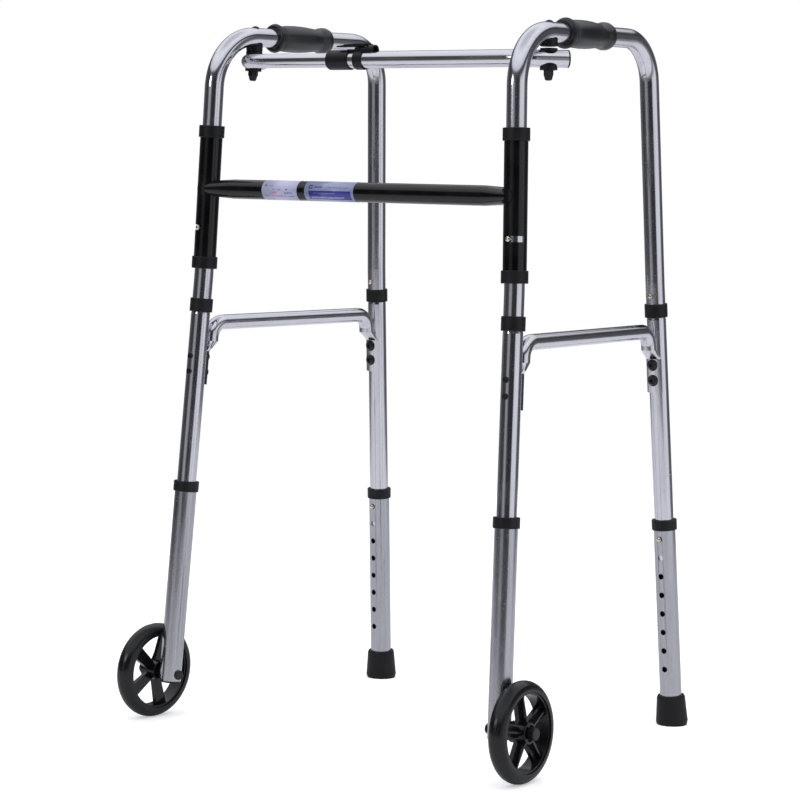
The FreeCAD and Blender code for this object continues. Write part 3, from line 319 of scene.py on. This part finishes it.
def makeTubeMetal(name, v, run, topRun=None, bendAt=0.0):
    u = tubeShared
    material, tree, shader, place = newFinish(name, Metallic=1.0, Anisotropic=u["anisotropic"])
    lines = useGroup(tree, "lines", {"Vector": place, "Squeeze": alongAxis[run]})["Lines"]
    if topRun:
        over = useGroup(tree, "lines", {"Vector": place, "Squeeze": alongAxis[topRun]})["Lines"]
        height = addNode(tree, "SeparateXYZ", {"Vector": place}).outputs["Z"]
        turned = softStep(tree, height, bendAt - u["turnOver"], bendAt + u["turnOver"])
        lines = addNode(tree, "Mix", {"Factor": turned, 2: lines, 3: over}, data_type="FLOAT").outputs[0]
    smudge = useGroup(tree, "smudge", {"Vector": place, "Size": u["smudgeSize"]})["Smudge"]
    scuff = useGroup(tree, "scuff", {"Vector": place, "Amount": u["scuff"]})["Scuff"]
    tree.links.new(mixTone(tree, lines, v["dark"], v["light"]), shader.inputs["Base Color"])
    rough = math2(tree, "ADD", between(tree, lines, v["smooth"], v["rough"]),
                  math2(tree, "MULTIPLY", smudge, v["smudge"]))
    tree.links.new(math2(tree, "ADD", rough, scuff, clamp=True), shader.inputs["Roughness"])
    bump = addNode(tree, "Bump", {"Height": lines, "Strength": v["lineBump"], "Distance": u["lineDepth"]})
    tree.links.new(bump.outputs["Normal"], shader.inputs["Normal"])
    return material


mouldFinish = {
    "blackPlastic": {"dark": (0.004, 0.004, 0.005), "light": (0.012, 0.012, 0.015), "smooth": 0.34,
                     "rough": 0.50, "grain": 1500.0, "depth": 0.10, "scuff": 0.05, "shine": 0.26},
    "gripRubber": {"dark": (0.006, 0.006, 0.008), "light": (0.016, 0.017, 0.021), "smooth": 0.27,
                   "rough": 0.40, "grain": 1150.0, "depth": 0.22, "scuff": 0.03, "shine": 0.55},
    "footRubber": {"dark": (0.004, 0.004, 0.005), "light": (0.012, 0.012, 0.014), "smooth": 0.44,
                   "rough": 0.62, "grain": 900.0, "depth": 0.16, "scuff": 0.06, "shine": 0.26},
    "wheelPlastic": {"dark": (0.003, 0.003, 0.004), "light": (0.009, 0.009, 0.012), "smooth": 0.17,
                     "rough": 0.30, "grain": 1100.0, "depth": 0.05, "scuff": 0.05, "shine": 0.34},
    "whitePlastic": {"dark": (0.62, 0.62, 0.60), "light": (0.76, 0.76, 0.74), "smooth": 0.35,
                     "rough": 0.5, "grain": 1300.0, "depth": 0.06, "scuff": 0.05, "shine": 0.5},
}
mouldShared = {"smudgeSize": 22.0, "grainShare": 0.6, "smudgeShare": 0.4}


def makeMoulded(name, v):
    u = mouldShared
    material, tree, shader, place = newFinish(name, Specular_IOR_Level=v["shine"])
    grain = useGroup(tree, "grain", {"Vector": place, "Size": v["grain"], "Depth": v["depth"]})
    smudge = useGroup(tree, "smudge", {"Vector": place, "Size": u["smudgeSize"]})["Smudge"]
    scuff = useGroup(tree, "scuff", {"Vector": place, "Amount": v["scuff"]})["Scuff"]
    tone = math2(tree, "ADD", math2(tree, "MULTIPLY", grain["Grain"], u["grainShare"]),
                 math2(tree, "MULTIPLY", smudge, u["smudgeShare"]))
    tree.links.new(mixTone(tree, math2(tree, "ADD", tone, scuff, clamp=True), v["dark"], v["light"]),
                   shader.inputs["Base Color"])
    rough = math2(tree, "ADD", between(tree, tone, v["smooth"], v["rough"]), scuff, clamp=True)
    tree.links.new(rough, shader.inputs["Roughness"])
    tree.links.new(grain["Normal"], shader.inputs["Normal"])
    return material


# baked paint: a faint orange peel under the gloss, with smudges and short scratches
glossValues = {"dark": (0.002, 0.002, 0.003), "light": (0.006, 0.006, 0.008), "smooth": 0.13, "rough": 0.24,
               "peel": 330.0, "peelBump": 0.05, "peelDepth": 0.0004, "smudgeSize": 18.0, "scuff": 0.16,
               "shine": 0.24, "coat": 0.25, "coatRough": 0.05}


def makeGlossPaint(name, v):
    material, tree, shader, place = newFinish(name, Specular_IOR_Level=v["shine"], Coat_Weight=v["coat"],
                                              Coat_Roughness=v["coatRough"])
    peel = addNode(tree, "TexNoise", {"Vector": place, "Scale": v["peel"], "Detail": 1.0})
    smudge = useGroup(tree, "smudge", {"Vector": place, "Size": v["smudgeSize"]})["Smudge"]
    scuff = useGroup(tree, "scuff", {"Vector": place, "Amount": v["scuff"]})["Scuff"]
    tree.links.new(mixTone(tree, smudge, v["dark"], v["light"]), shader.inputs["Base Color"])
    rough = math2(tree, "ADD", between(tree, smudge, v["smooth"], v["rough"]), scuff, clamp=True)
    tree.links.new(rough, shader.inputs["Roughness"])
    bump = addNode(tree, "Bump", {"Height": peel.outputs["Fac"], "Strength": v["peelBump"],
                                  "Distance": v["peelDepth"]})
    tree.links.new(bump.outputs["Normal"], shader.inputs["Normal"])
    return material


smallMetal = {
    "platedSteel": {"dark": (0.42, 0.37, 0.29), "light": (0.86, 0.80, 0.68), "smooth": 0.12, "rough": 0.30,
                    "metal": 1.0},
    "springSteel": {"dark": (0.28, 0.28, 0.30), "light": (0.55, 0.55, 0.57), "smooth": 0.25, "rough": 0.45,
                    "metal": 1.0},
    "blackSteel": {"dark": (0.004, 0.004, 0.005), "light": (0.016, 0.016, 0.018), "smooth": 0.26,
                   "rough": 0.46, "metal": 0.35},
}
metalShared = {"cloudScale": 420.0, "cloudDetail": 4.0, "scuff": 0.3, "bump": 0.08, "depth": 0.0003}


def makeSmallMetal(name, v):
    u = metalShared
    material, tree, shader, place = newFinish(name, Metallic=v["metal"])
    noise = addNode(tree, "TexNoise", {"Vector": place, "Scale": u["cloudScale"], "Detail": u["cloudDetail"]})
    cloud = noise.outputs["Fac"]
    scuff = useGroup(tree, "scuff", {"Vector": place, "Amount": u["scuff"]})["Scuff"]
    tree.links.new(mixTone(tree, math2(tree, "ADD", cloud, scuff, clamp=True), v["dark"], v["light"]),
                   shader.inputs["Base Color"])
    tree.links.new(between(tree, cloud, v["smooth"], v["rough"]), shader.inputs["Roughness"])
    bump = addNode(tree, "Bump", {"Height": cloud, "Strength": u["bump"], "Distance": u["depth"]})
    tree.links.new(bump.outputs["Normal"], shader.inputs["Normal"])
    return material


finishes = {name: makeMoulded(name, v) for name, v in mouldFinish.items()}
finishes.update({name: makeSmallMetal(name, v) for name, v in smallMetal.items()})
finishes["glossPaint"] = makeGlossPaint("glossPaint", glossValues)
finishes["brightLeg"] = makeTubeMetal("brightLeg", tubeFinish["bright"], "z")
finishes["brightHoop"] = makeTubeMetal("brightHoop", tubeFinish["bright"], "z", "y", bendHeight["hoop"])
finishes["brightBrace"] = makeTubeMetal("brightBrace", tubeFinish["bright"], "z", "y", bendHeight["brace"])
finishes["brightBar"] = makeTubeMetal("brightBar", tubeFinish["bright"], "x")
finishes["satinLeg"] = makeTubeMetal("satinLeg", tubeFinish["satin"], "z")

finishOfSlot = {
    "plated_steel": "platedSteel", "spring_steel": "springSteel", "black_plastic": "blackPlastic",
    "polished_aluminium": "brightLeg", "satin_aluminium": "satinLeg", "black_steel": "blackSteel",
    "grip_rubber": "gripRubber", "foot_rubber": "footRubber", "wheel_plastic": "wheelPlastic",
    "black_paint": "glossPaint", "white_plastic": "whitePlastic",
}
finishOfNode = {"left_hoop": "brightHoop", "right_hoop": "brightHoop", "left_brace": "brightBrace",
                "right_brace": "brightBrace", "inner_tube": "brightBar", "outer_tube": "brightBar"}
for part in frame["record"]["subparts"]:
    piece = cad[part["node"]]
    finishName = finishOfNode.get(part["node"], finishOfSlot[part["material_slot"]])
    piece.data.materials.clear()
    piece.data.materials.append(finishes[finishName])
print("finishes on the frame")


def finishPiece(name, mesh, finish, body, replaced=()):
    data = bpy.data.meshes.new(name)
    bmesh.ops.recalc_face_normals(mesh, faces=mesh.faces)
    for face in mesh.faces:
        face.smooth = True
    mesh.to_mesh(data)
    mesh.free()
    piece = bpy.data.objects.new(name, data)
    bpy.context.scene.collection.objects.link(piece)
    data.materials.append(finishes[finish])
    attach(piece, body)
    if replaced:
        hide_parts(*replaced)
    return piece


# hand grips: a turned profile, along the hoop's top
gripValues = {
    "start": 0.116, "height": 0.9165, "bore": 0.01273, "turns": 64, "merge": 1e-6,
    # along the grip from its front ring, and radius
    "profile": [(-0.0010, 0.0152), (-0.0008, 0.0170), (0.0006, 0.0190), (0.0028, 0.0197), (0.0050, 0.0190),
                (0.0066, 0.0170), (0.0074, 0.0155), (0.0088, 0.0149), (0.0104, 0.0153), (0.0118, 0.0163),
                (0.0150, 0.0171), (0.0240, 0.0178), (0.0380, 0.0182), (0.0500, 0.0180), (0.0620, 0.0173),
                (0.0720, 0.0163), (0.0790, 0.0157), (0.0836, 0.0155), (0.0866, 0.0160), (0.0900, 0.0172),
                (0.0945, 0.0180), (0.0990, 0.0179), (0.1026, 0.0168), (0.1048, 0.0152), (0.1058, 0.0141)],
}


def makeGrip(side, v):
    mesh = bmesh.new()
    first, last = v["profile"][0], v["profile"][-1]
    ring = v["profile"] + [(last[0], v["bore"]), (first[0], v["bore"])]
    corners = [mesh.verts.new((0, v["start"] + y, v["height"] + r)) for y, r in ring]
    edges = [mesh.edges.new(pair) for pair in zip(corners, corners[1:] + corners[:1])]
    bmesh.ops.spin(mesh, geom=corners + edges, cent=(0, v["start"], v["height"]), axis=rearward,
                   angle=math.tau, steps=v["turns"], use_merge=True)
    bmesh.ops.remove_doubles(mesh, verts=mesh.verts, dist=v["merge"])
    mesh.transform(sideMatrix(side))
    finishPiece(side + "_grip_moulded", mesh, "gripRubber", side + "_side", [side + "_grip"])


for side in ("left", "right"):
    makeGrip(side, gripValues)
print("hand grips made")

# two plain labels round the front bar
barLine = {"height": 0.7133, "radius": 0.0127, "behind": 0.0005}
labelValues = {
    "label_pale": {"from": -0.1475, "to": -0.0880, "wrap": 235},
    "label_blue": {"from": -0.0750, "to": 0.0060, "wrap": 235},
}


def barCentre():
    return -sideStand["setBack"] + barLine["behind"]


labelPaper = {"lift": 0.00012, "thickness": 0.00010, "steps": 48}
labelPrint = {"coatRough": 0.12, "grain": 2200.0, "grainBump": 0.03, "shade": 0.93, "smooth": 0.28,
              "rough": 0.42, "dashScale": 900.0, "dashFrom": 0.42, "dashTo": 0.5}


def makeLabelFinish(name, v, blocks, ground, shine):
    u = labelPrint
    material, tree, shader, place = newFinish(name, Coat_Weight=shine, Coat_Roughness=u["coatRough"])
    grain = useGroup(tree, "grain", {"Vector": place, "Size": u["grain"], "Depth": u["grainBump"]})
    colour = mixTone(tree, grain["Grain"], tuple(c * u["shade"] for c in ground), ground)
    for x, z, halfX, halfZ, tone, broken in blocks:
        centre = (v["from"] + x, 0.0, barLine["height"] + z)
        half = (halfX, 1.0, halfZ)
        mask = useGroup(tree, "block", {"Vector": place, "Centre": centre, "Half": half})["Mask"]
        if broken:  # a row of uneven dashes
            dashes = addNode(tree, "TexNoise", {"Vector": place, "Scale": u["dashScale"], "Detail": 0.0})
            gaps = addNode(tree, "MapRange", {"Value": dashes.outputs["Fac"], "From Min": u["dashFrom"],
                                              "From Max": u["dashTo"]})
            mask = math2(tree, "MULTIPLY", mask, gaps.outputs[0])
        inked = addNode(tree, "Mix", {"Factor": mask, 6: colour, 7: (*tone, 1)}, data_type="RGBA")
        colour = inked.outputs[2]
    tree.links.new(colour, shader.inputs["Base Color"])
    tree.links.new(between(tree, grain["Grain"], u["smooth"], u["rough"]), shader.inputs["Roughness"])
    tree.links.new(grain["Normal"], shader.inputs["Normal"])
    return material


inkBlue, inkGrey, inkRed = (0.03, 0.035, 0.22), (0.13, 0.12, 0.20), (0.55, 0.12, 0.22)
# each block: x from the label's left end, height from the bar's middle, half width, half height, ink, broken
paleBlocks = [
    (0.0068, 0.0062, 0.0016, 0.0013, inkGrey, False), (0.0155, 0.0062, 0.0034, 0.0006, inkGrey, True),
    (0.0190, 0.0012, 0.0022, 0.0010, inkRed, True), (0.0300, 0.0012, 0.0012, 0.0009, inkGrey, True),
    (0.0420, 0.0012, 0.0016, 0.0009, inkBlue, True), (0.0200, -0.0032, 0.0050, 0.0012, inkRed, True),
    (0.0090, -0.0068, 0.0040, 0.0006, inkGrey, True), (0.0450, -0.0032, 0.0065, 0.0011, inkBlue, True),
    (0.0300, -0.0072, 0.0120, 0.0008, inkRed, True), (0.0500, -0.0076, 0.0050, 0.0006, inkBlue, True),
]
blueBlocks = [
    (0.0420, -0.0046, 0.0350, 0.0056, (0.035, 0.040, 0.30), False),
    (0.0100, 0.0058, 0.0030, 0.0026, inkBlue, False),
    (0.0100, 0.0058, 0.0014, 0.0010, (0.42, 0.45, 0.62), False),
    (0.0225, 0.0056, 0.0060, 0.0013, inkBlue, True), (0.0540, 0.0052, 0.0190, 0.0008, inkGrey, True),
    (0.0330, -0.0022, 0.0180, 0.0006, (0.25, 0.28, 0.55), True),
    (0.0380, -0.0078, 0.0270, 0.0010, (0.40, 0.44, 0.75), True),
]
labelGround = {"pale": (0.50, 0.51, 0.72), "blue": (0.30, 0.33, 0.52)}
labelShine = {"pale": 0.2, "blue": 0.4}
for tint, blocks in (("pale", paleBlocks), ("blue", blueBlocks)):
    finishes[tint + "Label"] = makeLabelFinish(tint + "Label", labelValues["label_" + tint], blocks,
                                               labelGround[tint], labelShine[tint])


def makeLabel(name, v, finish):
    mesh = bmesh.new()
    y, z, r = barCentre(), barLine["height"], barLine["radius"] + labelPaper["lift"]
    start = -math.radians(v["wrap"] / 2)
    arm = Matrix.Rotation(start, 3, "X") @ Vector((0, -r, 0))
    ends = [mesh.verts.new((x, y + arm.y, z + arm.z)) for x in (v["from"], v["to"])]
    edge = mesh.edges.new(ends)
    bmesh.ops.spin(mesh, geom=ends + [edge], cent=(0, y, z), axis=across, angle=math.radians(v["wrap"]),
                   steps=labelPaper["steps"])
    piece = finishPiece(name, mesh, finish, "h_frame")
    thick = piece.modifiers.new("paper", "SOLIDIFY")
    thick.thickness, thick.offset = labelPaper["thickness"], 0


for tint in labelGround:
    makeLabel("label_" + tint, labelValues["label_" + tint], tint + "Label")
print("labels made")

# floor

floorValues = {"radius": 2.6, "sides": 96, "tone": (0.86, 0.86, 0.87), "mottle": (0.82, 0.82, 0.83),
               "glow": 0.45, "mottleScale": 9.0, "mottleDetail": 4.0, "smooth": 0.5, "rough": 0.62}


def makeFloor(v):
    mesh = bmesh.new()
    bmesh.ops.create_circle(mesh, cap_ends=True, segments=v["sides"], radius=v["radius"])
    data = bpy.data.meshes.new("floor")
    mesh.to_mesh(data)
    mesh.free()
    ground = bpy.data.objects.new("floor", data)
    bpy.context.scene.collection.objects.link(ground)
    material, tree, shader, place = newFinish("paleFloor", Emission_Strength=v["glow"])
    seen = addNode(tree, "LightPath").outputs["Is Camera Ray"]
    tree.links.new(seen, shader.inputs["Emission Color"])
    noise = addNode(tree, "TexNoise", {"Vector": place, "Scale": v["mottleScale"],
                                       "Detail": v["mottleDetail"]})
    mottle = noise.outputs["Fac"]
    tree.links.new(mixTone(tree, mottle, v["mottle"], v["tone"]), shader.inputs["Base Color"])
    tree.links.new(between(tree, mottle, v["smooth"], v["rough"]), shader.inputs["Roughness"])
    data.materials.append(material)


makeFloor(floorValues)
print("floor made")
